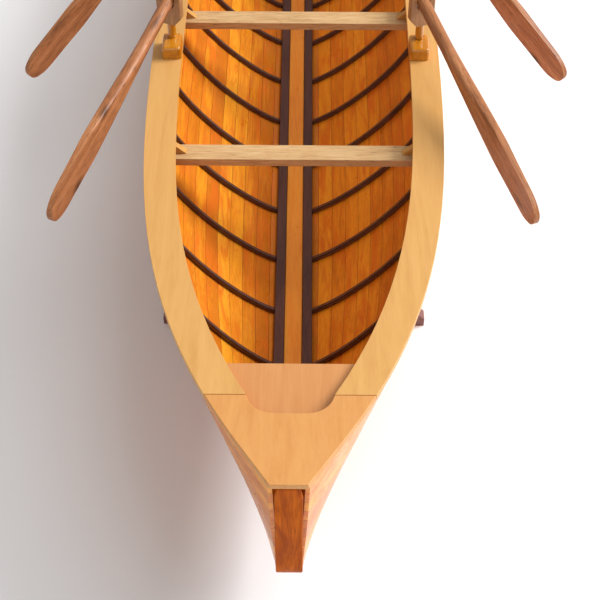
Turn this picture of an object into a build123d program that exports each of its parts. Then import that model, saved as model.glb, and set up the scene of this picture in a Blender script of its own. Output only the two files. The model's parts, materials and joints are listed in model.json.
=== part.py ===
from build123d import *
import os
from bisect import bisect_left
from functools import lru_cache
from math import cos, hypot, radians, sin, sqrt

# A strip-planked, double-ended rowing canoe at display-model size, on its cradle stand.
# Millimetres. +Y runs towards the bow, +X to starboard, +Z up. The origin is on the
# table, midway between the ends and the sides.

os.makedirs("parts", exist_ok=True)

ENDS = {"stern": -1, "bow": 1}
SIDES = {"port": -1, "starboard": 1}

# Hull outline
HALF_LENGTH = 325.0
HALF_BEAM = 75.0
TIP_HALF = 7.6
PLAN_POWER = 3.7
PLAN_TAPER = 1.1
KEEL_HEIGHT = 20.0
ROCKER = 14.0
ROCKER_POWER = 2.5
SHEER_HEIGHT = 101.7
SHEER_RISE = 11.3
SHEER_POWER = 4.2
FOREFOOT_LENGTH = 50.0
FOREFOOT_HEIGHT = 28.0
BILGE_POWER = 1.33
SIDE_POWER_MID = 1.45
SIDE_POWER_END = 1.2

# Planking, keel and stems
STRAKES = 12
PLANK = 1.8
SEAM_GAP = 0.06
KEEL_THICK = 3.0
KEEL_HALF = 5.6
BAND_HEAD_HALF = 4.3
BAND_HEAD_TAPER = 7.0
CORE_HALF = 3.0
CORE_DEPTH = 6.0
HOG_HALF = 4.6
HOG_THICK = 1.7
FIT_GAP = 0.1
SHEER_GAP = 0.35
PLANK_END = HALF_LENGTH - KEEL_THICK
FOOT = HALF_LENGTH - FOREFOOT_LENGTH

# Keelson and ribs
KEELSON_END = 263.0
CENTRE_HALF = 4.5
CENTRE_THICK = 2.2
STRIP_WIDTH = 5.0
STRIP_STAND = 1.9
RIB_SPACING = 37.5
RIB_SHIFT = -11.4
RIB_PAIRS_EACH_WAY = 6
RIB_WIDTH = 2.4
RIB_DEPTH = 2.4
RIB_LEAN = 0.05
RIB_GAP = 0.35
RIB_STEPS = 48
RIB_FIRST = 2
RIB_SKIP = 5
RIB_FOOT_CLEAR = 1.0

# Rail caps, decks and end boards
CAP_WIDTH = 15.3
CAP_THICK = 3.0
CAP_OVERHANG = 1.0
DECK_JOINT = 277.4
DECK_NOTCH = 9.8
DECK_NOTCH_RADIUS = 11.0
DECK_NOTCH_LEAN = 0.35
BOARD_EDGE = 257.2
BOARD_END = 296.0
BOARD_THICK = 2.0
BOARD_DROP = 0.2
PLAN_STEPS = 10
DECK_STEPS = 5
BOARD_STEPS = 4

# Thwarts and knees
THWART_SPACING = 112.0
THWART_DEPTH = 11.0
THWART_THICK = 4.5
THWART_DROP = 8.0
KNEE_REACH = 13.0
KNEE_HEAD = 4.5
KNEE_THICK = 3.4
THWARTS = {"aft": -THWART_SPACING, "middle": 0.0, "fore": THWART_SPACING}

# Rowlocks and oars
ROWLOCK_SETBACK = 42.0
ROWLOCK_X = 64.5
BLOCK = (10.0, 14.0, 7.0)
BLOCK_ROUND = 1.6
BLOCK_SHIFT = 3.5
SHANK_RADIUS = 1.5
SHANK_CLEARANCE = 0.05
SHANK_DEPTH = 6.0
NECK_RADIUS = 2.15
NECK_HEIGHT = 8.8
NECK_GAP = 0.3
CRUTCH_WIDTH = 13.0
CRUTCH_THICK = 4.0
CRUTCH_HEIGHT = 18.6
CRUTCH_CORNER = (3.6, 4.4)
SLOT_WIDTH = 7.6
SLOT_TIPS = 4
SHAFT_RADIUS = 3.3
SHAFT_CLEARANCE = 0.45
PIVOT_RISE = 14.6
HORN_ROUND = 0.9
INBOARD = 58.0
OUTBOARD = 142.0
GRIP_LENGTH = 27.0
GRIP_RADIUS = 2.7
GRIP_END_RADIUS = 3.1
GRIP_END_ROUND = 1.0
GRIP_END_REACH = 3.0
BLADE_WIDTH = 15.2
BLADE_ROUND_START = 124.0
BLADE_TIP_HALF = 5.6
BLADE_TIP_START = 138.0
# Distance out from the crutch, then the breadth, thickness and corner radius there
BLADE_SECTIONS = (
    (34.0, 2 * SHAFT_RADIUS, 2 * SHAFT_RADIUS, 0.99 * SHAFT_RADIUS),
    (60.0, 9.2, 6.2, 2.2),
    (92.0, BLADE_WIDTH, 4.2, 1.0),
    (OUTBOARD, BLADE_WIDTH, 2.8, 0.7),
)
# Each rowlock pair: place along the hull, the oar's sweep from dead astern, its droop,
# and the droops between which it can tip
ROWLOCKS = {
    "aft": (-ROWLOCK_SETBACK, 19.9, 11.6, (-14.0, 20.0)),
    "fore": (THWART_SPACING - ROWLOCK_SETBACK, 40.1, 25.2, (-13.0, 27.5)),
}

# Stand
CRADLE_PLACE = 141.0
CRADLE_THICK = 6.5
CRADLE_HALF = 69.3
CRADLE_ARM_X = 57.0
CRADLE_WAIST_X = 53.0
CRADLE_TOP = 62.0
CRADLE_FOOT = 5.0
CRADLE_CLEARANCE = 0.4
NOTCH_STEPS = 20
ARCH_HALF = 44.0
ARCH_HEIGHT = 8.0
RAIL_SIZE = (14.0, 7.5)
RAIL_BASE = 10.0
SCREW_RADIUS = 1.2
SCREW_HEAD_RADIUS = 2.4
SCREW_HEAD = 1.6
SCREW_HEAD_TAPER = 20
SCREW_LENGTH = 16.0
SCREW_OFFSET = 3.5
RAIL_HALF = CRADLE_PLACE - CRADLE_THICK / 2 - FIT_GAP
SCREW_PLACES = [(sign * SCREW_OFFSET, RAIL_BASE + RAIL_SIZE[1] / 2) for sign in (-1, 1)]

STATIONS = [
    end * y
    for end, places in (
        (-1, (PLANK_END, 316, 307, 295, 280, 262, 240, 210, 175, 130, 80, 40)),
        (1, (0, 40, 80, 130, 175, 210, 240, 262, 280, 295, 307, 316, PLANK_END)),
    )
    for y in places
]
SECTION_STEPS = 80
STEM_ANGLES = (22.5, 45, 67.5)
KEEL_STEPS = 4
SLOPE_STEP = 0.5


def save(shape, name):
    shape.label = name
    export_step(shape, f"parts/{name}.step")


def along(y):
    return min(abs(y) / HALF_LENGTH, 1.0)


def rail_half(y):
    """Half breadth over the outer edges of the rail caps."""
    return TIP_HALF + (HALF_BEAM - TIP_HALF) * (1 - along(y) ** PLAN_POWER) ** PLAN_TAPER


def rail_inner(y):
    """Half breadth between the inner edges of the rail caps."""
    slope = (rail_half(y + SLOPE_STEP) - rail_half(y - SLOPE_STEP)) / (2 * SLOPE_STEP)
    return rail_half(y) - CAP_WIDTH * hypot(1, slope)


def sheer(y):
    """Top edge of the planking, which the rail caps lie on."""
    return SHEER_HEIGHT + SHEER_RISE * along(y) ** SHEER_POWER


def keel_base(y):
    return KEEL_HEIGHT + ROCKER * along(y) ** ROCKER_POWER


def profile(y, inset):
    """Height of keel and stem in side view, moved in from their outer face by inset."""
    if abs(y) <= FOOT:
        return keel_base(y) + inset
    reach = min((abs(y) - FOOT) / (FOREFOOT_LENGTH - inset), 1.0)
    centre = keel_base(FOOT) + FOREFOOT_HEIGHT
    return centre - (FOREFOOT_HEIGHT - inset) * sqrt(1 - reach * reach)


def hull_half(y, z):
    """Half breadth over the planking at station y and height z."""
    base = profile(y, KEEL_THICK)
    rise = min(max((z - base) / (sheer(y) - base), 0.0), 1.0)
    side_power = SIDE_POWER_MID + (SIDE_POWER_END - SIDE_POWER_MID) * along(y) ** 2
    fullness = (1 - (1 - rise) ** side_power) ** (1 / BILGE_POWER)
    return KEEL_HALF + (rail_half(y) - CAP_OVERHANG - KEEL_HALF) * fullness


@lru_cache(maxsize=None)
def section(y):
    """Points up the outside of the planking, with the distance round it to each."""
    base = keel_base(y) + KEEL_THICK
    top = sheer(y) - SHEER_GAP
    heights = [base + (top - base) * (i / SECTION_STEPS) ** 2 for i in range(SECTION_STEPS + 1)]
    points = [(hull_half(y, z), z) for z in heights]
    girths = [0.0]
    for (x0, z0), (x1, z1) in zip(points, points[1:]):
        girths.append(girths[-1] + hypot(x1 - x0, z1 - z0))
    return points, girths


def hull_point(y, share, inset):
    """Point at a share of the girth from the keel, moved in square to the planking."""
    points, girths = section(y)
    girth = share * girths[-1]
    i = min(max(bisect_left(girths, girth), 1), SECTION_STEPS)
    (x0, z0), (x1, z1) = points[i - 1], points[i]
    length = girths[i] - girths[i - 1]
    part = (girth - girths[i - 1]) / length
    across, up = (x1 - x0) / length, (z1 - z0) / length
    return x0 + part * (x1 - x0) - inset * up, z0 + part * (z1 - z0) + inset * across


def floor_height(y, x, inset):
    """Height, at half breadth x, of the flat-faced strakes' inside with an inset added."""
    seams = [hull_point(y, number / STRAKES, inset) for number in range(STRAKES + 1)]
    number = next(n for n in range(1, STRAKES + 1) if seams[n][0] >= x)
    (x0, z0), (x1, z1) = seams[number - 1], seams[number]
    return z0 + (z1 - z0) * max(x - x0, 0) / (x1 - x0)


def inner_half(y, z):
    """Half breadth inside the planking at height z."""
    share = 1.0
    while hull_point(y, share, PLANK)[1] > z:
        share -= 1 / (4 * SECTION_STEPS)
    return hull_point(y, share, PLANK)[0]


def lofted(quad_at, stations):
    """A long strip lofted through the four-cornered section that quad_at gives."""
    with BuildPart() as strip:
        for y in stations:
            with BuildSketch(Plane.XZ.offset(-y)):
                Polygon(*quad_at(y), align=None)
        loft()
    return strip.part


def side_slab(outline, half_width):
    """A plate standing on the centre plane, from the (y, z) outline given."""
    with BuildPart() as slab:
        with BuildSketch(Plane.YZ):
            with BuildLine():
                outline()
            make_face()
        extrude(amount=half_width, both=True)
    return slab.part


# Planking: each strake runs from stem to stem and is cut off along the forefoot
def forefoot_waste(end):
    outer = HALF_LENGTH + KEEL_HEIGHT

    def outline():
        start = end * FOOT, profile(FOOT, KEEL_THICK)
        top = end * PLANK_END, profile(HALF_LENGTH, KEEL_THICK)
        crown = end * PLANK_END, SHEER_HEIGHT + 2 * SHEER_RISE
        middle = [end * (FOOT + (PLANK_END - FOOT) * sin(radians(a))) for a in STEM_ANGLES]
        Spline(start, *[(y, profile(y, KEEL_THICK)) for y in middle], top, tangents=((end, 0), (0, 1)))
        Polyline(top, crown, (end * outer, crown[1]), (end * outer, 0), (end * FOOT, 0), start)

    return side_slab(outline, HALF_BEAM)


def strake(side, number, wastes):
    def quad(y):
        girth = section(y)[1][-1]
        low = number / STRAKES + SEAM_GAP / 2 / girth
        high = (number + 1) / STRAKES - SEAM_GAP / 2 / girth
        corners = ((low, 0), (high, 0), (high, PLANK), (low, PLANK))
        return [(side * x, z) for x, z in (hull_point(y, share, inset) for share, inset in corners)]

    blank = lofted(quad, STATIONS)
    with BuildPart() as plank:
        add(blank)
        for waste in wastes:
            add(waste, mode=Mode.SUBTRACT)
    return plank.part.solids().sort_by(lambda solid: solid.volume)[-1]


wastes = [forefoot_waste(end) for end in ENDS.values()]
for name, side in SIDES.items():
    save(Compound(children=[strake(side, n, wastes) for n in range(STRAKES)]), f"planks_{name}")


# Keel, hog, stem bands and stem cores
def ribbon(height, reach, steps):
    """Outline of a strip that follows a height along the hull, between two offsets from it."""
    places = [reach * share / steps for share in range(-steps, steps + 1)]

    def outline_between(low, high):
        def outline():
            bottom = [(y, height(y) + low) for y in places]
            top = [(y, height(y) + high) for y in reversed(places)]
            Spline(*bottom)
            Line(bottom[-1], top[0])
            Spline(*top)
            Line(top[-1], bottom[0])

        return outline

    return outline_between


keel_strip = ribbon(keel_base, FOOT, KEEL_STEPS)
save(side_slab(keel_strip(0, KEEL_THICK - FIT_GAP), KEEL_HALF), "keel")
save(side_slab(keel_strip(KEEL_THICK, KEEL_THICK + HOG_THICK), HOG_HALF), "hog")


def stem_outline(end, outer, inner):
    """The strip between two insets, from the forefoot up to the deck."""
    start = FOOT + FIT_GAP

    def curve(inset):
        reach = FOREFOOT_LENGTH - inset
        middle = [FOOT + reach * sin(radians(a)) for a in STEM_ANGLES]
        low = end * start, profile(start, inset)
        high = end * (HALF_LENGTH - inset), profile(HALF_LENGTH, inset)
        head = high[0], sheer(HALF_LENGTH - inset) - FIT_GAP
        Spline(low, *[(end * y, profile(y, inset)) for y in middle], high, tangents=((end, 0), (0, 1)))
        Line(high, head)
        return low, head

    def outline():
        outer_low, outer_head = curve(outer)
        inner_low, inner_head = curve(inner)
        Line(outer_head, inner_head)
        Line(inner_low, outer_low)

    return outline


def stem_band(end):
    """The facing over the plank ends, a little narrower at its head."""
    head = sheer(HALF_LENGTH)
    face = [(KEEL_HALF, 0), (KEEL_HALF, head - BAND_HEAD_TAPER), (BAND_HEAD_HALF, head)]
    mirrored = [(-x, z) for x, z in reversed(face)]
    with BuildPart() as band:
        add(side_slab(stem_outline(end, 0, KEEL_THICK - FIT_GAP), KEEL_HALF))
        with BuildSketch(Plane.XZ):
            Polygon(*face, *mirrored, align=None)
        extrude(amount=2 * HALF_LENGTH, both=True, mode=Mode.INTERSECT)
    return band.part


for name, end in ENDS.items():
    save(stem_band(end), f"stem_band_{name}")
    core = stem_outline(end, KEEL_THICK, KEEL_THICK + CORE_DEPTH)
    save(side_slab(core, CORE_HALF), f"stem_core_{name}")


# Keelson: a centre plank between two square-edged strips that stand above it
inboard_stations = [y for y in STATIONS if abs(y) < KEELSON_END]
keelson_stations = [-KEELSON_END, *inboard_stations, KEELSON_END]


def centre_quad(y):
    low = floor_height(y, CENTRE_HALF, PLANK) + FIT_GAP
    corners = ((-1, low), (1, low), (1, low + CENTRE_THICK), (-1, low + CENTRE_THICK))
    return [(sign * (CENTRE_HALF - FIT_GAP), z) for sign, z in corners]


save(lofted(centre_quad, keelson_stations), "keelson")


def strip_quad(side):
    outer = CENTRE_HALF + STRIP_WIDTH

    def quad(y):
        low = floor_height(y, CENTRE_HALF, PLANK) + FIT_GAP
        high = floor_height(y, outer, PLANK) + FIT_GAP
        top = high + STRIP_STAND
        corners = ((CENTRE_HALF, low), (outer, high), (outer, top), (CENTRE_HALF, top))
        return [(side * x, z) for x, z in corners]

    return quad


for name, side in SIDES.items():
    save(lofted(strip_quad(side), keelson_stations), f"keelson_strip_{name}")


# Ribs: square sticks bent to the inside of the planking, from keelson to sheer
def rib_edge(y, inset):
    """Points up a rib from the keelson's edge to just under the rail cap, thinned out evenly."""
    foot = CENTRE_HALF + STRIP_WIDTH + FIT_GAP
    head = sheer(y) - FIT_GAP
    curve = [hull_point(y, step / RIB_STEPS, inset) for step in range(RIB_STEPS)]
    curve = [(x, z) for x, z in curve if x > foot + RIB_FOOT_CLEAR and z < sheer(y) - RIB_DEPTH]
    tip_x, tip_z = curve[-1]
    lowest = foot, floor_height(y, foot, inset)
    highest = tip_x + (head - tip_z) * RIB_LEAN, head
    return [lowest, *curve[RIB_FIRST::RIB_SKIP], highest]


def rib(side, y):
    with BuildPart() as stick:
        for face_y in (y - RIB_WIDTH / 2, y + RIB_WIDTH / 2):
            outer = [(side * x, z) for x, z in rib_edge(face_y, PLANK + RIB_GAP)]
            inner = [(side * x, z) for x, z in rib_edge(face_y, PLANK + RIB_GAP + RIB_DEPTH)]
            with BuildSketch(Plane.XZ.offset(-face_y)):
                with BuildLine():
                    Spline(*outer)
                    Spline(*inner)
                    Line(outer[0], inner[0])
                    Line(outer[-1], inner[-1])
                make_face()
        loft(ruled=True)
    return stick.part


rib_places = [
    RIB_SHIFT + RIB_SPACING * n for n in range(-RIB_PAIRS_EACH_WAY, RIB_PAIRS_EACH_WAY + 1)
]
for name, side in SIDES.items():
    save(Compound(children=[rib(side, y) for y in rib_places]), f"ribs_{name}")


# Rail caps and decks: flat outlines bent to the sheer
cap_slab = side_slab(ribbon(sheer, HALF_LENGTH, PLAN_STEPS)(0, CAP_THICK), HALF_BEAM + CAP_THICK)


def bent_plate(outline, slab):
    with BuildPart() as plate:
        with BuildSketch():
            with BuildLine():
                outline()
            make_face()
        extrude(amount=2 * SHEER_HEIGHT)
        add(slab, mode=Mode.INTERSECT)
    return plate.part


def cap_outline(side):
    joint = DECK_JOINT - FIT_GAP / 2
    places = [joint * step / PLAN_STEPS for step in range(-PLAN_STEPS, PLAN_STEPS + 1)]

    def outline():
        outer = [(side * rail_half(y), y) for y in places]
        inner = [(side * rail_inner(y), y) for y in places]
        Spline(*outer)
        Spline(*inner)
        Line(outer[0], inner[0])
        Line(outer[-1], inner[-1])

    return outline


for name, side in SIDES.items():
    save(bent_plate(cap_outline(side), cap_slab), f"cap_{name}")


def deck_outline(end):
    joint = DECK_JOINT + FIT_GAP / 2
    places = [joint + (HALF_LENGTH - joint) * step / DECK_STEPS for step in range(DECK_STEPS + 1)]

    def outline():
        starboard = [(rail_half(y), end * y) for y in places]
        port = [(-x, y) for x, y in reversed(starboard)]
        mouth = rail_inner(joint)
        Spline(*starboard)
        Line(starboard[-1], port[0])
        Spline(*port)
        Line(port[-1], (-mouth, end * joint))
        FilletPolyline(
            (-mouth, end * joint),
            (-mouth + DECK_NOTCH * DECK_NOTCH_LEAN, end * (joint + DECK_NOTCH)),
            (mouth - DECK_NOTCH * DECK_NOTCH_LEAN, end * (joint + DECK_NOTCH)),
            (mouth, end * joint),
            radius=DECK_NOTCH_RADIUS,
        )
        Line((mouth, end * joint), starboard[0])

    return outline


for name, end in ENDS.items():
    save(bent_plate(deck_outline(end), cap_slab), f"deck_{name}")


# End boards: level boards inside the hull, under the decks and the cap ends
def end_board(end):
    top = sheer(BOARD_EDGE) - BOARD_DROP
    base = top - BOARD_THICK
    reach = BOARD_END - BOARD_EDGE
    places = [BOARD_EDGE + reach * step / BOARD_STEPS for step in range(BOARD_STEPS + 1)]
    with BuildPart() as board:
        with BuildSketch(Plane.XY.offset(base)):
            with BuildLine():
                starboard = [(inner_half(y, base) - 2 * FIT_GAP, end * y) for y in places]
                port = [(-x, y) for x, y in reversed(starboard)]
                Spline(*starboard)
                Line(starboard[-1], port[0])
                Spline(*port)
                Line(port[-1], starboard[0])
            make_face()
        extrude(amount=BOARD_THICK)
    return board.part


for name, end in ENDS.items():
    save(end_board(end), f"end_board_{name}")


# Thwarts, each held by a knee at either end
def thwart_half(y):
    return inner_half(abs(y) + THWART_DEPTH / 2, sheer(y) - THWART_DROP - THWART_THICK) - FIT_GAP


def thwart(y):
    top = sheer(y) - THWART_DROP
    with BuildPart() as plank:
        with BuildSketch(Plane.XY.offset(top - THWART_THICK)):
            with Locations((0, y)):
                Rectangle(2 * thwart_half(y), THWART_DEPTH)
        extrude(amount=THWART_THICK)
    return plank.part


def knee(side, y):
    base = sheer(y) - THWART_DROP + FIT_GAP
    head = sheer(y) - FIT_GAP
    outer = thwart_half(y)
    outline = [(outer, base), (outer - KNEE_REACH, base), (outer - KNEE_HEAD, head), (outer, head)]
    with BuildPart() as block:
        with BuildSketch(Plane.XZ.offset(KNEE_THICK / 2 - y)):
            Polygon(*[(side * x, z) for x, z in outline], align=None)
        extrude(amount=-KNEE_THICK)
    return block.part


for place, y in THWARTS.items():
    save(thwart(y), f"thwart_{place}")
    for name, side in SIDES.items():
        save(knee(side, y), f"knee_{place}_{name}")


# Rowlocks: a block on the rail cap with a crutch that turns in it, and the oar in the crutch
def deck_level(y):
    return sheer(y) + CAP_THICK


def block(side, y):
    width, length, height = BLOCK
    base = Plane((side * ROWLOCK_X, y, deck_level(y) + FIT_GAP))
    with BuildPart() as pad:
        with BuildSketch(base):
            with Locations((0, -BLOCK_SHIFT)):
                RectangleRounded(width, length, BLOCK_ROUND)
        extrude(amount=height)
        fillet(pad.faces().sort_by(Axis.Z)[-1].edges(), BLOCK_ROUND)
        with BuildSketch(base.offset(height)):
            Circle(SHANK_RADIUS + SHANK_CLEARANCE)
        extrude(amount=-SHANK_DEPTH - FIT_GAP, mode=Mode.SUBTRACT)
    return pad.part


def heading(side, sweep, droop):
    """Unit vector along an oar towards its blade."""
    level = cos(radians(droop))
    across = side * sin(radians(sweep)) * level
    return Vector(across, -cos(radians(sweep)) * level, -sin(radians(droop)))


def pivot(side, y):
    crutch_base = deck_level(y) + BLOCK[2] + NECK_HEIGHT
    return Vector(side * ROWLOCK_X, y, crutch_base + PIVOT_RISE)


def crutch_outline():
    half = CRUTCH_WIDTH / 2
    corner_in, corner_up = CRUTCH_CORNER
    starboard = [(half - corner_in, 0), (half, corner_up), (half, CRUTCH_HEIGHT)]
    port = [(-x, z) for x, z in reversed(starboard)]
    Polyline(*starboard, *port, close=True)


def crutch(side, y, sweep, droops):
    """An open wooden fork on a round neck, with a thinner shank below it."""
    level = heading(side, sweep, 0)
    seat = pivot(side, y)
    base = seat - Vector(0, 0, PIVOT_RISE)
    lying = Plane(base)
    upright = Plane(base, x_dir=Vector(0, 0, 1).cross(level), z_dir=level)
    top = base.Z + CRUTCH_HEIGHT
    with BuildPart() as fork:
        with BuildSketch(upright.offset(-CRUTCH_THICK / 2)):
            with BuildLine():
                crutch_outline()
            make_face()
            with Locations((0, CRUTCH_HEIGHT)):
                slot = CRUTCH_HEIGHT - PIVOT_RISE
                Rectangle(SLOT_WIDTH, slot, align=(Align.CENTER, Align.MAX), mode=Mode.SUBTRACT)
        extrude(amount=CRUTCH_THICK)
        fillet(fork.edges().filter_by(lambda edge: abs(edge.center().Z - top) < FIT_GAP), HORN_ROUND)
        with BuildSketch(lying):
            Circle(NECK_RADIUS)
        extrude(amount=NECK_GAP - NECK_HEIGHT)
        with BuildSketch(lying):
            Circle(SHANK_RADIUS)
        extrude(amount=FIT_GAP - NECK_HEIGHT - SHANK_DEPTH)
        for tip in range(SLOT_TIPS):
            droop = droops[0] + (droops[1] - droops[0]) * tip / (SLOT_TIPS - 1)
            shaft = Plane(seat, z_dir=heading(side, sweep, droop))
            with BuildSketch(shaft.offset(-CRUTCH_WIDTH)):
                Circle(SHAFT_RADIUS + SHAFT_CLEARANCE)
            extrude(amount=2 * CRUTCH_WIDTH, mode=Mode.SUBTRACT)
    return fork.part


def handle_outline():
    """Half profile of the round part of an oar, from its grip to the blade's root."""
    root = BLADE_SECTIONS[0][0]
    grip = GRIP_LENGTH - INBOARD
    end = (-INBOARD, GRIP_END_RADIUS - GRIP_END_ROUND)
    swell = (GRIP_END_REACH - INBOARD, GRIP_END_RADIUS)
    waist = ((grip - INBOARD) / 2, GRIP_RADIUS)
    Line((-INBOARD, 0), end)
    Spline(end, swell, waist, (grip, SHAFT_RADIUS), tangents=((0, 1), (1, 0)))
    Polyline((grip, SHAFT_RADIUS), (root, SHAFT_RADIUS), (root, 0), (-INBOARD, 0))


def blade_outline():
    """Broad view of everything outboard of the blade's root, with the rounded tip."""
    root = BLADE_SECTIONS[0][0]
    half = BLADE_WIDTH / 2 + FIT_GAP
    shoulder = (BLADE_ROUND_START, half)
    corner = (BLADE_TIP_START, BLADE_TIP_HALF)
    end = (OUTBOARD, 0)
    Polyline((root, -half), (root, half), shoulder)
    Spline(shoulder, corner, end, tangents=((1, 0), (0, -1)))
    Spline(end, (corner[0], -corner[1]), (shoulder[0], -half), tangents=((0, -1), (-1, 0)))
    Line((shoulder[0], -half), (root, -half))


def oar(side, y, sweep, droop):
    """A round loom whittled flat into a narrow blade that stands on edge."""
    seat = pivot(side, y)
    outboard = heading(side, sweep, droop)
    broad = Plane(seat, x_dir=outboard, z_dir=outboard.cross(Vector(0, 0, 1)))
    cross = Plane(seat, x_dir=broad.y_dir, z_dir=outboard)
    with BuildPart() as blade:
        for reach, breadth, thickness, corner in BLADE_SECTIONS:
            with BuildSketch(cross.offset(reach)):
                RectangleRounded(breadth, thickness, corner)
        loft()
        with BuildSketch(broad.offset(-BLADE_WIDTH)):
            with BuildLine():
                blade_outline()
            make_face()
        extrude(amount=2 * BLADE_WIDTH, mode=Mode.INTERSECT)
    with BuildPart() as wood:
        with BuildSketch(broad):
            with BuildLine():
                handle_outline()
            make_face()
        revolve(axis=Axis(seat, outboard))
        add(blade.part)
    return wood.part


for place, (y, sweep, droop, droops) in ROWLOCKS.items():
    for name, side in SIDES.items():
        save(block(side, y), f"rowlock_block_{place}_{name}")
        save(crutch(side, y, sweep, droops), f"crutch_{place}_{name}")
        save(oar(side, y, sweep, droop), f"oar_{place}_{name}")


# Stand: two notched cradles screwed to the ends of a rail
def cradle_outline():
    """A plate with two feet, an arch between them and hollow sides up to its arms."""
    foot = (CRADLE_HALF, CRADLE_FOOT)
    waist = (CRADLE_WAIST_X, (CRADLE_TOP + CRADLE_FOOT) / 2)
    arm = (CRADLE_ARM_X, CRADLE_TOP)
    Polyline((-foot[0], foot[1]), (-foot[0], 0), (-ARCH_HALF, 0))
    ThreePointArc((-ARCH_HALF, 0), (0, ARCH_HEIGHT), (ARCH_HALF, 0))
    Polyline((ARCH_HALF, 0), (foot[0], 0), foot)
    Spline(foot, waist, arm)
    Line(arm, (-arm[0], arm[1]))
    Spline((-arm[0], arm[1]), (-waist[0], waist[1]), (-foot[0], foot[1]))


def hull_notch(y):
    """Outline of the planking at station y with the clearance round it."""
    starboard = [hull_point(y, step / NOTCH_STEPS, -CRADLE_CLEARANCE) for step in range(NOTCH_STEPS + 1)]
    port = [(-x, z) for x, z in reversed(starboard)]
    Spline(*starboard)
    Line(starboard[-1], port[0])
    Spline(*port)
    Line(port[-1], starboard[0])


def cradle(end):
    widest = CRADLE_PLACE - CRADLE_THICK / 2
    keel_slot = 2 * (KEEL_HALF + CRADLE_CLEARANCE)
    with BuildPart() as plate:
        with BuildSketch(Plane.XZ.offset(CRADLE_THICK / 2 - end * CRADLE_PLACE)):
            with BuildLine():
                cradle_outline()
            make_face()
            with BuildLine():
                hull_notch(widest)
            make_face(mode=Mode.SUBTRACT)
            with Locations((0, keel_base(widest) - CRADLE_CLEARANCE)):
                Rectangle(keel_slot, CRADLE_TOP, align=(Align.CENTER, Align.MIN), mode=Mode.SUBTRACT)
        extrude(amount=-CRADLE_THICK)
        with BuildSketch(Plane.XZ.offset(-end * (CRADLE_PLACE + CRADLE_THICK))):
            with Locations(*SCREW_PLACES):
                Circle(SCREW_RADIUS + SHANK_CLEARANCE)
        extrude(amount=end * 2 * CRADLE_THICK, mode=Mode.SUBTRACT)
    return plate.part


def stand_rail():
    width, height = RAIL_SIZE
    with BuildPart() as rail:
        with BuildSketch(Plane.XZ.offset(-RAIL_HALF)):
            with Locations((0, RAIL_BASE)):
                Rectangle(width, height, align=(Align.CENTER, Align.MIN))
        extrude(amount=2 * RAIL_HALF)
        for end in ENDS.values():
            with BuildSketch(Plane.XZ.offset(-end * RAIL_HALF)):
                with Locations(*SCREW_PLACES):
                    Circle(SCREW_RADIUS + SHANK_CLEARANCE)
            extrude(amount=end * SCREW_LENGTH, mode=Mode.SUBTRACT)
    return rail.part


def screw(end, x, z):
    face = end * (CRADLE_PLACE + CRADLE_THICK / 2 + FIT_GAP)
    with BuildPart() as fastener:
        with BuildSketch(Plane.XZ.offset(-face)):
            with Locations((x, z)):
                Circle(SCREW_HEAD_RADIUS)
        extrude(amount=-end * SCREW_HEAD, taper=SCREW_HEAD_TAPER)
        with BuildSketch(Plane.XZ.offset(-face)):
            with Locations((x, z)):
                Circle(SCREW_RADIUS)
        extrude(amount=end * SCREW_LENGTH)
    return fastener.part


for name, end in ENDS.items():
    save(cradle(end), f"cradle_{name}")
save(stand_rail(), "stand_rail")
screws = [screw(end, x, z) for end in ENDS.values() for x, z in SCREW_PLACES]
save(Compound(children=screws), "stand_screws")
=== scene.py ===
import json
from math import cos, radians, sin

import bmesh
import bpy
from mathutils import Matrix, Vector, noise


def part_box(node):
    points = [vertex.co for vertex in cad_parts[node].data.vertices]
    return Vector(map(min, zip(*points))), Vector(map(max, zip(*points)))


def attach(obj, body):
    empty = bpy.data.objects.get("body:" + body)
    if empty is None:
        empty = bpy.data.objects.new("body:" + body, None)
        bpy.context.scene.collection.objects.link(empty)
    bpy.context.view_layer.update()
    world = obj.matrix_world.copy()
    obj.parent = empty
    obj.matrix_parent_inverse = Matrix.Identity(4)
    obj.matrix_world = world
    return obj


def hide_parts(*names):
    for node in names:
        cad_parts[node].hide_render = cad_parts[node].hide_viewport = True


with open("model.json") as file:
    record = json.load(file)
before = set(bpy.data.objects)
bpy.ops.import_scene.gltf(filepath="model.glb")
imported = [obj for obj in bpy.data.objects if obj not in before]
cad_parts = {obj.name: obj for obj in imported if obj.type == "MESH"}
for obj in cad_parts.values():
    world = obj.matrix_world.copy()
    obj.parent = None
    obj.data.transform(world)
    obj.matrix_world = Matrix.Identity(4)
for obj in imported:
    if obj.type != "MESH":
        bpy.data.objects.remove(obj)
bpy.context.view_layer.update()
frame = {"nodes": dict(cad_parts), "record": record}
NODES = frame["nodes"]
SIDES = ("port", "starboard")
ENDS = ("stern", "bow")
MM = 0.001


# Camera: above the stern, looking forward and down along the keel
CAMERA_PITCH = radians(48.0)
CAMERA_YAW = radians(-0.29)
CAMERA_ROLL = radians(0.19)
CAMERA_DISTANCE = 616.7 * MM
CAMERA_TARGET = Vector((3.25, -196.0, 77.3)) * MM
SENSOR_WIDTH = 36.0
FOCAL_LENGTH = 79.67
NEAREST_SEEN = 0.01


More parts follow.
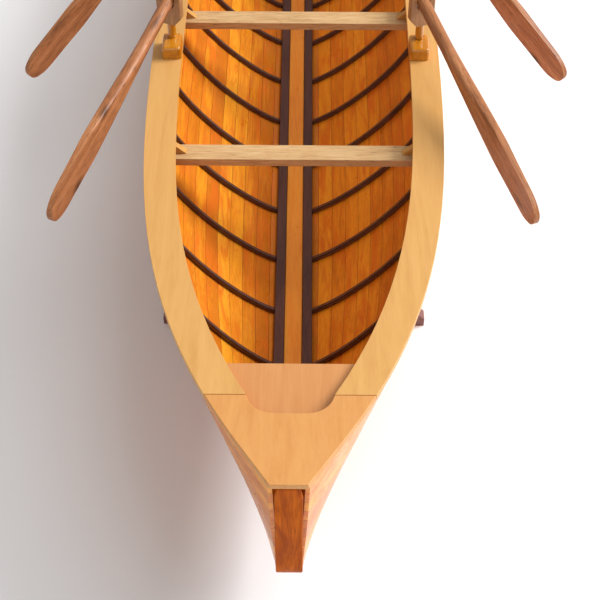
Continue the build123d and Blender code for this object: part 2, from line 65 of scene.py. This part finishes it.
def place_camera():
    forward = Vector((
        sin(CAMERA_YAW) * cos(CAMERA_PITCH),
        cos(CAMERA_YAW) * cos(CAMERA_PITCH),
        -sin(CAMERA_PITCH),
    ))
    right = forward.cross(Vector((0, 0, 1))).normalized()
    up = right.cross(forward)
    turned_right = cos(CAMERA_ROLL) * right + sin(CAMERA_ROLL) * up
    turned_up = cos(CAMERA_ROLL) * up - sin(CAMERA_ROLL) * right
    data = bpy.data.cameras.new("camera")
    data.sensor_width = SENSOR_WIDTH
    data.lens = FOCAL_LENGTH
    data.clip_start = NEAREST_SEEN
    camera = bpy.data.objects.new("camera", data)
    bpy.context.scene.collection.objects.link(camera)
    axes = Matrix((turned_right, turned_up, -forward)).transposed()
    place = Matrix.Translation(CAMERA_TARGET - forward * CAMERA_DISTANCE)
    camera.matrix_world = place @ axes.to_4x4()
    bpy.context.scene.camera = camera


place_camera()


# Material helpers
class Nodes:
    """Builds a node tree with short calls."""

    def __init__(self, name):
        self.material = bpy.data.materials.new(name)
        self.material.use_nodes = True
        self.tree = self.material.node_tree
        self.shader = self.tree.nodes["Principled BSDF"]

    def add(self, kind, settings=None, **inputs):
        node = self.tree.nodes.new(kind)
        for key, value in (settings or {}).items():
            setattr(node, key, value)
        for key, value in inputs.items():
            self.feed(node.inputs[key.replace("_", " ")], value)
        return node

    def feed(self, socket, value):
        if isinstance(value, bpy.types.NodeSocket):
            self.tree.links.new(value, socket)
        else:
            socket.default_value = value

    def noise(self, vector, scale, detail=4.0, roughness=0.55, distortion=0.0):
        node = self.add("ShaderNodeTexNoise", None, Vector=vector, Scale=scale, Detail=detail)
        node.inputs["Roughness"].default_value = roughness
        node.inputs["Distortion"].default_value = distortion
        return node.outputs["Fac"]

    def stretched(self, vector, scale, factor=1.0):
        scale = tuple(factor * part for part in scale)
        node = self.add("ShaderNodeMapping", None, Vector=vector, Scale=scale)
        return node.outputs["Vector"]

    def ramp(self, factor, stops):
        node = self.add("ShaderNodeValToRGB", None, Fac=factor)
        elements = node.color_ramp.elements
        while len(elements) < len(stops):
            elements.new(0.5)
        for element, (place, colour) in zip(elements, stops):
            element.position = place
            element.color = (*colour, 1.0)
        return node.outputs["Color"]

    def spread(self, value, low, high, to_low=0.0, to_high=1.0):
        node = self.add("ShaderNodeMapRange", None, Value=value)
        node.inputs["From Min"].default_value = low
        node.inputs["From Max"].default_value = high
        node.inputs["To Min"].default_value = to_low
        node.inputs["To Max"].default_value = to_high
        return node.outputs["Result"]

    def mix(self, factor, first, second):
        node = self.tree.nodes.new("ShaderNodeMix")
        node.data_type = "RGBA"
        self.feed(node.inputs["Factor"], factor)
        for key, colour in (("A", first), ("B", second)):
            plain = not isinstance(colour, bpy.types.NodeSocket)
            self.feed(node.inputs[key], (*colour, 1.0) if plain else colour)
        return node.outputs["Result"]

    def math(self, operation, first, second):
        node = self.tree.nodes.new("ShaderNodeMath")
        node.operation = operation
        self.feed(node.inputs[0], first)
        self.feed(node.inputs[1], second)
        return node.outputs["Value"]

    def attribute(self, name, output="Vector"):
        node = self.add("ShaderNodeAttribute", {"attribute_name": name})
        return node.outputs[output]

    def bump(self, height, strength, distance, normal=None):
        node = self.add("ShaderNodeBump", None, Height=height, Strength=strength, Distance=distance)
        if normal is not None:
            self.feed(node.inputs["Normal"], normal)
        return node.outputs["Normal"]


# Features of the wood in each metre: along the grain, then in the two directions across it
FIGURE = (14, 170, 170)
FIBRES = (60, 2200, 2200)
PORES = (170, 2600, 2600)
KNOTS = (30, 90, 90)
PATCHES = (34, 150, 150)
BRUSH_MARKS = (25, 240, 240)
# Features in each metre that are alike in every direction
CLOUDS = 28.0
GLOSS_CHANGES = 90.0


def shade(colour, share):
    return tuple(share * part for part in colour)


def wood(name, pale, middle, dark, grain=1.0, streak=0.5, roughness=0.3, coat=0.0, coat_roughness=0.1,
         specular=0.5, spread=0.0, mottle=None, pores=0.0, knots=0.0, wave=0.00006):
    """Wood whose grain runs along the first value of the piece's grain attribute, in metres.

    Grain is how fine the figure is and streak is the fibres' share of it. Spread is how far a
    piece's own tone shifts it. Mottle is the colour of patches, and wave is the relief in metres."""
    n = Nodes(name)
    place = n.attribute("grain")
    tone = n.attribute("tone", "Fac")
    figure = n.noise(n.stretched(place, FIGURE, grain), 1.0, detail=5.0, roughness=0.6, distortion=1.2)
    fibre = n.noise(n.stretched(place, FIBRES, grain), 1.0, detail=3.0, roughness=0.6)
    cloud = n.noise(place, CLOUDS, detail=2.0)
    mixed = n.math("ADD", n.math("MULTIPLY", figure, 1 - streak), n.math("MULTIPLY", fibre, streak))
    own_tone = n.math("MULTIPLY", n.math("SUBTRACT", tone, 0.5), spread)
    colour = n.ramp(n.math("ADD", mixed, own_tone), ((0.30, dark), (0.50, middle), (0.68, pale)))
    colour = n.mix(n.spread(cloud, low=0.35, high=0.7, to_high=0.35), colour, middle)
    if pores:
        flecks = n.noise(n.stretched(place, PORES), 1.0, detail=2.0, roughness=0.5)
        colour = n.mix(n.spread(flecks, low=0.60, high=0.72, to_high=pores), colour, shade(dark, 0.35))
    if knots:
        spots = n.add("ShaderNodeTexVoronoi", None, Vector=n.stretched(place, KNOTS), Scale=1.0)
        ring = n.spread(spots.outputs["Distance"], low=0.05, high=0.22, to_low=knots, to_high=0.0)
        colour = n.mix(ring, colour, shade(dark, 0.3))
    if mottle:
        patches = n.stretched(place, PATCHES)
        patches = n.noise(patches, 1.0, detail=3.0, roughness=0.6, distortion=0.8)
        colour = n.mix(n.spread(patches, low=0.46, high=0.64, to_high=0.85), colour, mottle)
    n.feed(n.shader.inputs["Base Color"], colour)
    n.shader.inputs["Specular IOR Level"].default_value = specular
    gloss = n.noise(place, GLOSS_CHANGES, detail=3.0)
    gloss = n.spread(gloss, low=0.3, high=0.7, to_low=roughness * 0.75, to_high=roughness * 1.3)
    n.feed(n.shader.inputs["Roughness"], gloss)
    n.shader.inputs["Coat Weight"].default_value = coat
    n.shader.inputs["Coat Roughness"].default_value = coat_roughness
    rough = n.bump(fibre, strength=0.5, distance=wave)
    brushed = n.noise(n.stretched(place, BRUSH_MARKS), 1.0, detail=2.0)
    n.feed(n.shader.inputs["Normal"], n.bump(brushed, strength=0.4, distance=wave * 2, normal=rough))
    return n.material


MATERIALS = {
    "cap": wood(
        "cap_wood", pale=(0.71, 0.39, 0.122), middle=(0.665, 0.35, 0.104), dark=(0.59, 0.29, 0.077),
        streak=0.35, roughness=0.46, coat=0.12, coat_roughness=0.4, specular=0.35,
    ),
    "deck": wood(
        "deck_wood", pale=(0.71, 0.35, 0.108), middle=(0.675, 0.308, 0.090), dark=(0.59, 0.243, 0.063),
        streak=0.3, roughness=0.46, coat=0.12, coat_roughness=0.4, specular=0.35,
    ),
    "board": wood(
        "board_wood", pale=(0.665, 0.315, 0.113), middle=(0.62, 0.27, 0.090), dark=(0.56, 0.228, 0.072),
        streak=0.3, roughness=0.48, coat=0.1, coat_roughness=0.42, specular=0.3,
    ),
    "plank": wood(
        "plank_wood", pale=(0.95, 0.43, 0.028), middle=(0.89, 0.325, 0.017), dark=(0.56, 0.145, 0.008),
        streak=0.5, roughness=0.34, coat=0.4, coat_roughness=0.16, specular=0.3, spread=0.17,
        mottle=(0.74, 0.165, 0.012), pores=0.35,
    ),
    "seam": wood(
        "seam_varnish", pale=(0.24, 0.070, 0.012), middle=(0.14, 0.040, 0.009), dark=(0.06, 0.018, 0.007),
        streak=0.4, roughness=0.3, coat=0.2, coat_roughness=0.1, specular=0.3,
    ),
    "keelson": wood(
        "keelson_wood", pale=(1.00, 0.44, 0.048), middle=(0.99, 0.35, 0.032), dark=(0.84, 0.22, 0.015),
        streak=0.55, roughness=0.34, coat=0.1, coat_roughness=0.12, specular=0.3, pores=0.2,
    ),
    "stem": wood(
        "stem_wood", pale=(0.74, 0.190, 0.003), middle=(0.50, 0.095, 0.002), dark=(0.13, 0.020, 0.001),
        grain=1.8, streak=0.35, roughness=0.4, specular=0.05, mottle=(0.33, 0.055, 0.002), pores=0.5,
    ),
    "walnut": wood(
        "walnut_wood", pale=(0.150, 0.057, 0.037), middle=(0.098, 0.037, 0.025), dark=(0.040, 0.015, 0.011),
        streak=0.6, roughness=0.38, coat=0.1, coat_roughness=0.15, specular=0.35,
    ),
    "rib": wood(
        "rib_wood", pale=(0.170, 0.082, 0.058), middle=(0.105, 0.047, 0.033), dark=(0.040, 0.016, 0.012),
        streak=0.6, roughness=0.35, coat=0.15, coat_roughness=0.15, specular=0.35,
    ),
    # Darker colour for the ribs' eased edges: painted shade along the sides of each rib
    "rib_edge_shade": wood(
        "rib_edge_shade_wood", pale=(0.050, 0.020, 0.013), middle=(0.030, 0.012, 0.009), dark=(0.012, 0.005, 0.004),
        streak=0.6, roughness=0.45, specular=0.3,
    ),
    "thwart": wood(
        "thwart_wood", pale=(0.76, 0.54, 0.30), middle=(0.63, 0.385, 0.172), dark=(0.32, 0.14, 0.046),
        grain=1.2, streak=0.66, roughness=0.55, specular=0.3, pores=0.6, wave=0.0002,
    ),
    "knee": wood(
        "knee_wood", pale=(0.74, 0.43, 0.14), middle=(0.60, 0.29, 0.06), dark=(0.38, 0.14, 0.02),
        grain=1.2, streak=0.5, roughness=0.4, coat=0.15, coat_roughness=0.15, specular=0.35,
    ),
    "block": wood(
        "block_wood", pale=(0.78, 0.34, 0.020), middle=(0.56, 0.20, 0.008), dark=(0.28, 0.075, 0.004),
        streak=0.4, roughness=0.22, coat=0.8, coat_roughness=0.04, specular=0.3,
    ),
    "crutch": wood(
        "crutch_wood", pale=(0.62, 0.35, 0.15), middle=(0.42, 0.205, 0.082), dark=(0.19, 0.075, 0.028),
        grain=1.2, streak=0.6, roughness=0.45, specular=0.35, pores=0.5,
    ),
    "oar": wood(
        "oar_wood", pale=(0.62, 0.275, 0.118), middle=(0.39, 0.145, 0.052), dark=(0.10, 0.027, 0.011),
        streak=0.5, roughness=0.45, coat=0.08, coat_roughness=0.25, specular=0.3, pores=0.8, knots=0.85,
        wave=0.0002,
    ),
    # Lighter colour for the oars' eased edges: painted highlight along every edge of shaft and blade
    "oar_edge": wood(
        "oar_edge_wood", pale=(0.86, 0.52, 0.27), middle=(0.68, 0.35, 0.16), dark=(0.38, 0.15, 0.06),
        streak=0.6, roughness=0.4, coat=0.08, coat_roughness=0.25, specular=0.35, pores=0.4,
    ),
    "mahogany": wood(
        "mahogany_wood", pale=(0.26, 0.07, 0.045), middle=(0.18, 0.042, 0.03), dark=(0.09, 0.02, 0.015),
        streak=0.55, roughness=0.3, coat=0.4, coat_roughness=0.12, pores=0.5,
    ),
}


TARNISH_SPOTS = 700.0


def brass():
    n = Nodes("screw_brass")
    tarnish = n.noise(n.attribute("grain"), TARNISH_SPOTS, detail=3.0)
    tarnish = n.spread(tarnish, low=0.3, high=0.7)
    colour = n.mix(tarnish, (0.75, 0.52, 0.22), (0.48, 0.30, 0.11))
    n.feed(n.shader.inputs["Base Color"], colour)
    n.shader.inputs["Metallic"].default_value = 1.0
    roughness = n.spread(tarnish, low=0.0, high=1.0, to_low=0.22, to_high=0.42)
    n.feed(n.shader.inputs["Roughness"], roughness)
    return n.material


MATERIALS["brass"] = brass()


# Pieces: each CAD node's mesh is copied, its edges eased and its grain laid out
WELD_DISTANCE = 2e-6
FLAT_ANGLE = radians(0.5)
# A point on the hull's middle plane, this high, that the inside of the planking faces
INSIDE_HEIGHT = 0.11
FACES_INSIDE = 0.75
OUTSIDE_EASE = 0.2
# Up to this far above its block, a crutch is in the block's wood
NECK_HEIGHT = 8.7 * MM


def loose_parts(bm):
    """Lists the mesh's separate shells, as lists of faces, in a fixed order."""
    left = set(bm.faces)
    shells = []
    for face in bm.faces:
        if face not in left:
            continue
        shell = []
        waiting = [face]
        left.discard(face)
        while waiting:
            one = waiting.pop()
            shell.append(one)
            for side in one.edges:
                for other in side.link_faces:
                    if other in left:
                        left.discard(other)
                        waiting.append(other)
        shells.append(shell)
    return shells


def steady(number):
    """A fixed pseudo-random value from 0 to 1 for a whole number."""
    return noise.cell(Vector((number * 7.31, number * 3.17, 0.5)))


def all_edges(edge):
    """Full easing for every edge."""
    return 1.0


def inboard_edges(edge):
    """Full easing for the edges on the inside of the hull, and hardly any for the rest."""
    middle = (edge.verts[0].co + edge.verts[1].co) / 2
    inward = Vector((-middle.x, 0, INSIDE_HEIGHT - middle.z)).normalized()
    facing = max(face.normal.dot(inward) for face in edge.link_faces)
    return 1.0 if facing > FACES_INSIDE else OUTSIDE_EASE


def refined(node, material, along=(0, 1, 0), ease=0.3, angle=35.0, segments=2, edge=None, weigh=all_edges,
            below=None):
    """Makes a copy of a CAD node with welded faces, eased edges and grain along a direction.

    Ease is in millimetres. The eased edges take the edge material, if there is one, and below
    is a height and the material of the faces under it."""
    source = NODES[node]
    mesh = source.data.copy()
    mesh.name = f"{node}_fine"
    mesh.materials.clear()
    mesh.materials.append(MATERIALS[material])
    if edge or below:
        mesh.materials.append(MATERIALS[edge or below[1]])
    piece = bpy.data.objects.new(f"{node}_fine", mesh)
    bpy.context.scene.collection.objects.link(piece)
    bm = bmesh.new()
    bm.from_mesh(mesh)
    bmesh.ops.remove_doubles(bm, verts=bm.verts, dist=WELD_DISTANCE)
    bmesh.ops.dissolve_limit(bm, angle_limit=FLAT_ANGLE, verts=bm.verts, edges=bm.edges)
    first = Vector(along).normalized()
    helper = Vector((0, 0, 1)) if abs(first.z) < 0.9 else Vector((1, 0, 0))
    second = helper.cross(first).normalized()
    third = first.cross(second)
    grain = bm.verts.layers.float_vector.new("grain")
    tone = bm.verts.layers.float.new("tone")
    seed = sum(ord(letter) for letter in node)
    for count, shell in enumerate(loose_parts(bm)):
        value = steady(seed + 13 * count)
        shift = Vector((steady(seed + count), steady(seed + 2 * count + 5), steady(seed + 3 * count + 9)))
        for face in shell:
            face.smooth = True
            for vert in face.verts:
                place = Vector((vert.co.dot(first), vert.co.dot(second), vert.co.dot(third)))
                vert[grain] = place + shift
                vert[tone] = value
    weight = bm.edges.layers.float.new("bevel_weight_edge")
    for side in bm.edges:
        if len(side.link_faces) == 2 and side.calc_face_angle() > radians(angle):
            side[weight] = weigh(side)
    if below:
        for face in bm.faces:
            face.material_index = 1 if face.calc_center_median().z < below[0] else 0
    bm.to_mesh(mesh)
    bm.free()
    mesh.set_sharp_from_angle(angle=radians(angle))
    if ease:
        bevel = piece.modifiers.new("ease", "BEVEL")
        bevel.width = ease * MM
        bevel.segments = segments
        bevel.limit_method = "WEIGHT"
        bevel.harden_normals = True
        bevel.material = 1 if edge else -1
    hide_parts(node)
    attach(piece, next(b for b, ns in frame["record"]["behaviour"]["bodies"].items() if node in ns))


def oar_direction(node):
    """Direction of an oar's length, from the middle of its handle to the middle of its blade."""
    points = sorted((vert.co for vert in NODES[node].data.vertices), key=lambda co: co.y)
    share = len(points) // 8
    blade = sum(points[:share], Vector()) / share
    handle = sum(points[-share:], Vector()) / share
    return blade - handle


for name in SIDES:
    refined(f"planks_{name}", "plank", ease=0.38, segments=1, edge="seam", weigh=inboard_edges)
    # The ribs' eased edges take the painted shade colour
    refined(f"ribs_{name}", "rib", along=(1, 0, 0), ease=0.34, segments=1, edge="rib_edge_shade")
    refined(f"keelson_strip_{name}", "walnut", ease=0.35)
    refined(f"cap_{name}", "cap", ease=0.5)
for name in ENDS:
    refined(f"deck_{name}", "deck", ease=0.5)
    refined(f"end_board_{name}", "board", ease=0.3)
    refined(f"stem_band_{name}", "stem", along=(0, 0, 1), ease=1.1, segments=3)
    refined(f"stem_core_{name}", "walnut", along=(0, 0, 1), ease=0.2)
    refined(f"cradle_{name}", "mahogany", along=(1, 0, 0), ease=0.7)
refined("keelson", "keelson", ease=0.3)
refined("keel", "stem", ease=0.5)
refined("hog", "stem", ease=0.2)
refined("stand_rail", "mahogany", ease=0.6)
refined("stand_screws", "brass", ease=0.15)
for place in ("aft", "middle", "fore"):
    refined(f"thwart_{place}", "thwart", along=(1, 0, 0), ease=0.35)
    for name in SIDES:
        refined(f"knee_{place}_{name}", "knee", along=(1, 0, 0), ease=0.25)
for where in (f"{place}_{name}" for place in ("aft", "fore") for name in SIDES):
    # The oars' eased edges take the painted highlight colour
    refined(f"oar_{where}", "oar", along=oar_direction(f"oar_{where}"), ease=0.5, edge="oar_edge")
    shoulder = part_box(f"rowlock_block_{where}")[1][2] + NECK_HEIGHT
    refined(f"crutch_{where}", "crutch", along=(0, 0, 1), ease=0.35, below=(shoulder, "block"))
    refined(f"rowlock_block_{where}", "block", along=(0, 1, 0), ease=0.0)


# Floor, light and surroundings
FLOOR_REACH = 4.0
FLOOR_ROUGHNESS = 0.6
FLOOR_CLOUDS = 9.0
FLOOR_TONES = ((0.90, 0.90, 0.91), (0.94, 0.94, 0.94))
AMBIENT_STRENGTH = 0.36


def stage():
    n = Nodes("floor_paper")
    place = n.add("ShaderNodeTexCoord").outputs["Object"]
    clouds = n.noise(place, FLOOR_CLOUDS, detail=3.0)
    n.feed(n.shader.inputs["Base Color"], n.mix(clouds, *FLOOR_TONES))
    n.shader.inputs["Roughness"].default_value = FLOOR_ROUGHNESS
    mesh = bpy.data.meshes.new("floor")
    corners = [(x * FLOOR_REACH, y * FLOOR_REACH, 0) for x, y in ((-1, -1), (1, -1), (1, 1), (-1, 1))]
    mesh.from_pydata(corners, [], [(0, 1, 2, 3)])
    mesh.materials.append(n.material)
    floor = bpy.data.objects.new("floor", mesh)
    bpy.context.scene.collection.objects.link(floor)


def area_light(name, place, aim, size, power):
    data = bpy.data.lights.new(name, "AREA")
    data.size = size
    data.energy = power
    light = bpy.data.objects.new(name, data)
    bpy.context.scene.collection.objects.link(light)
    light.location = place
    light.rotation_euler = (Vector(aim) - Vector(place)).to_track_quat("-Z", "Y").to_euler()


def surroundings():
    world = bpy.data.worlds.new("surroundings")
    world.use_nodes = True
    background = world.node_tree.nodes["Background"]
    background.inputs["Color"].default_value = (1.0, 1.0, 1.0, 1.0)
    background.inputs["Strength"].default_value = AMBIENT_STRENGTH
    bpy.context.scene.world = world
    bpy.context.scene.view_settings.view_transform = "Standard"


stage()
area_light("key", place=(2.6, 0.65, 2.1), aim=(0, -0.05, 0.05), size=1.6, power=124.0)
area_light("top", place=(0.9, 0.3, 2.1), aim=(0, 0, 0), size=1.6, power=17.5)
area_light("fill", place=(-0.4, -2.0, 1.1), aim=(0, -0.1, 0.05), size=1.4, power=7.5)
surroundings()
